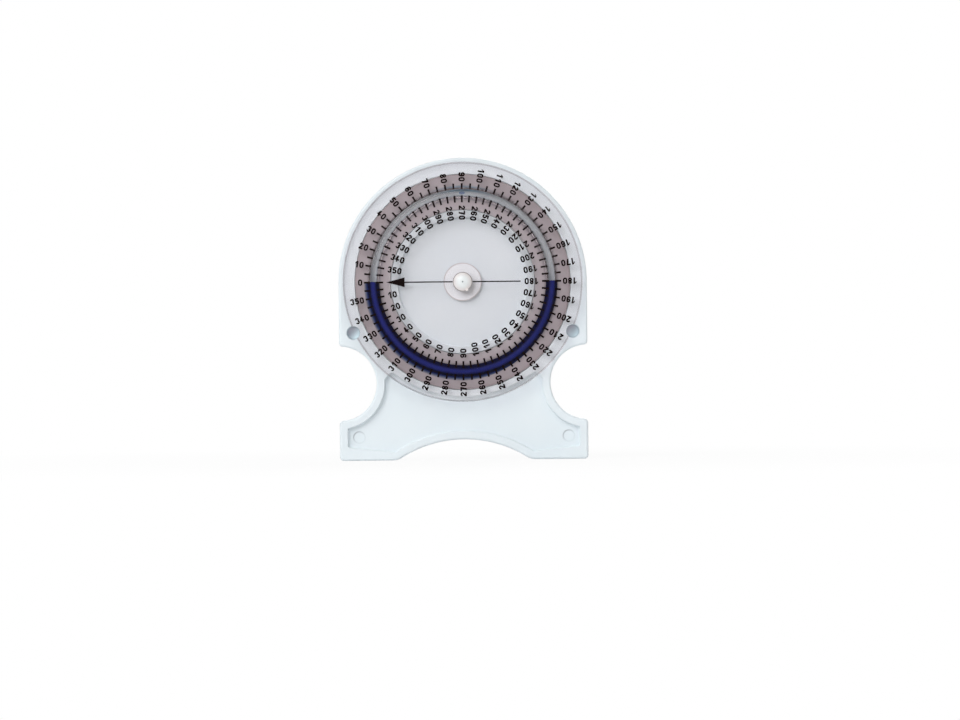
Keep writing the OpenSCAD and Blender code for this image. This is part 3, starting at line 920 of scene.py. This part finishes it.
def make_rivet(material):
    """Domed rivet with a small dot at its middle and a gate nub on its rim."""
    head_h = RIVET_FRONT - HEAD_BACK
    dome_r = (HEAD_R ** 2 + head_h ** 2) / (2 * head_h)
    rim_angle = DOME_SHARE * math.asin(HEAD_R / dome_r)
    dot_angle = math.asin(DOT_R / dome_r)
    centre_z = RIVET_FRONT - dome_r
    steps = 16
    small = 0.1
    wide = 0.15
    profile = [(0, RIVET_BACK), (SHANK_R - SHANK_CHAMFER, RIVET_BACK), (SHANK_R, RIVET_BACK + SHANK_CHAMFER)]
    profile += [(SHANK_R, HEAD_BACK), (HEAD_R - wide, HEAD_BACK), (HEAD_R, HEAD_BACK + small)]
    for i in range(steps + 1):
        t = rim_angle + (dot_angle - rim_angle) * i / steps
        profile.append((dome_r * math.sin(t), centre_z + dome_r * math.cos(t)))
    profile += [(DOT_R * 0.6, RIVET_FRONT - DOT_D * 0.8), (0, RIVET_FRONT - DOT_D)]
    rivet = lathe("hub_rivet", profile, steps=HUB_STEPS, closed=False)
    low = HEAD_BACK + head_h / 8
    high = HEAD_BACK + head_h / 2
    nub = [(0, low), (NUB_R - small, low), (NUB_R, low + small)]
    nub += [(NUB_R, high - wide), (NUB_R - wide, high), (0, high)]
    combine(rivet, lathe("nub", nub, nub_centre(), 32, closed=False), "UNION")
    set_up(rivet, "base", material, "pivot_rivet")


def make_washer(material):
    inner = WASHER_R - WASHER_CHAMFER
    profile = [(SHANK_HOLE_R, BOSS_FRONT), (inner, BOSS_FRONT), (WASHER_R, BOSS_FRONT + WASHER_CHAMFER)]
    profile += [(WASHER_R, WASHER_FRONT - WASHER_CHAMFER), (inner, WASHER_FRONT)]
    profile += [(SHANK_HOLE_R, WASHER_FRONT)]
    washer = lathe("hub_washer", profile, steps=HUB_STEPS)
    set_up(washer, "base", material, "bearing_washer")


# Stage


# Size of the photograph, millimetres at the dial per pixel, and the pixel of the dial axis in it
IMAGE = (960, 720)
PIXEL = 0.4016
DIAL_PX = (462.6, 281.7)

# Camera, with lengths in metres and angles in degrees
CAMERA_DISTANCE = 2.0
SENSOR_MM = 36
ROLL = 0.55

# Light
WORLD_LIGHT = 0.4
ROOM_LIGHT = 0.15
LIT_POINT = (0, 0, 0.06)

# Floor, in metres. It ends a trace under the soles.
FLOOR_HALF = 4.0
FLOOR_Z = -0.00002


def add_camera():
    """Long lens straight in front, placed and rolled so that the dial lies as in the photograph."""
    data = bpy.data.cameras.new("camera")
    data.sensor_width = SENSOR_MM
    data.lens = SENSOR_MM * CAMERA_DISTANCE / (IMAGE[0] * PIXEL * MM)
    camera = bpy.data.objects.new("camera", data)
    bpy.context.scene.collection.objects.link(camera)
    turn = Matrix.Rotation(math.radians(90), 4, "X") @ Matrix.Rotation(math.radians(-ROLL), 4, "Z")
    across = (DIAL_PX[0] - IMAGE[0] / 2) * PIXEL * MM
    up = (IMAGE[1] / 2 - DIAL_PX[1]) * PIXEL * MM
    dial = Matrix.Translation((0, (BACK - DISC_FRONT) * MM, AXIS_H * MM))
    camera.matrix_world = dial @ turn @ Matrix.Translation((-across, -up, CAMERA_DISTANCE))
    bpy.context.scene.camera = camera


def add_floor():
    """Pale floor that looks white, and is a trace greyer near the object."""
    bm = bmesh.new()
    signs = ((-1, -1), (1, -1), (1, 1), (-1, 1))
    bm.faces.new([bm.verts.new((x * FLOOR_HALF, y * FLOOR_HALF, FLOOR_Z)) for x, y in signs])
    floor = new_object("floor", bm)
    s = Shader("pale_floor")
    grain = s.mix(s.clouds(30.0, 4.0), (0.90, 0.90, 0.90, 1), (0.86, 0.86, 0.865, 1))
    matt = s.add("BsdfDiffuse", {"Color": grain}).outputs["BSDF"]
    bright = s.add("Emission", {"Color": (1, 1, 1, 1), "Strength": 1.0}).outputs["Emission"]
    path = s.add("LightPath").outputs
    seen = s.total(s.total(path["Is Camera Ray"], path["Is Glossy Ray"]), path["Is Transmission Ray"])
    reach = s.add("VectorMath", {0: s.place()}, operation="LENGTH").outputs["Value"]
    share = s.product(seen, s.spread(reach, 0.06, 0.3, 0.92, 1.0))
    paint(floor, s.finish(s.mix_shaders(share, matt, bright)))


def add_world():
    """Even light, a white background, and for mirrored rays a room that is dim in front."""
    world = bpy.data.worlds.new("studio")
    bpy.context.scene.world = world
    world.use_nodes = True
    s = Nodes(world.node_tree, "OutputWorld")
    path = s.add("LightPath").outputs
    heading = s.add("SeparateXYZ", {"Vector": s.add("TexCoord").outputs["Generated"]}).outputs["Y"]
    room = s.spread(heading, 0.0, 0.5, ROOM_LIGHT, 1.0)
    even, mirrored_room, white = [
        s.add("Background", {"Color": (1, 1, 1, 1), "Strength": level}).outputs[0]
        for level in (WORLD_LIGHT, room, 1.0)]
    mirrored_ray = s.total(path["Is Glossy Ray"], path["Is Transmission Ray"])
    light = s.mix_shaders(mirrored_ray, even, mirrored_room)
    s.feed(s.output.inputs["Surface"], s.mix_shaders(path["Is Camera Ray"], light, white))


def add_lamp(name, place, size, power, colour):
    data = bpy.data.lights.new(name, "AREA")
    data.size = size
    data.energy = power
    data.color = colour
    lamp = bpy.data.objects.new(name, data)
    bpy.context.scene.collection.objects.link(lamp)
    lamp.location = place
    lamp.rotation_euler = (Vector(LIT_POINT) - Vector(place)).to_track_quat("-Z", "Y").to_euler()


def main():
    make_base(base_plastic())
    make_disc(clear_plastic())
    make_ring(ring_plastic())
    make_liquid(blue_liquid())
    make_rivet(rivet_plastic())
    make_washer(washer_plastic())
    ink = print_ink()
    for node in ("outer_marks", "inner_marks", "outer_numbers", "inner_numbers", "pointer_arrow"):
        paint(frame["nodes"][node], ink)
    paint(frame["nodes"]["fill_plug"], plug_plastic())
    paint(frame["nodes"]["spring_washer"], sheet_metal("spring_steel", 0.62, 0.25))
    paint(frame["nodes"]["push_on_retainer"], sheet_metal("plated_steel", 0.50, 0.32))
    add_camera()
    add_floor()
    add_world()
    add_lamp("key", (-0.65, -1.15, 0.80), 1.1, 14.6, (1.0, 1.0, 1.0))
    add_lamp("fill", (0.9, -0.9, 0.35), 0.8, 1.5, (1.0, 0.97, 0.93))
    add_lamp("rear", (0.3, 1.1, 0.7), 0.9, 6, (1.0, 1.0, 1.0))
    bpy.context.scene.view_settings.view_transform = "Standard"


main()
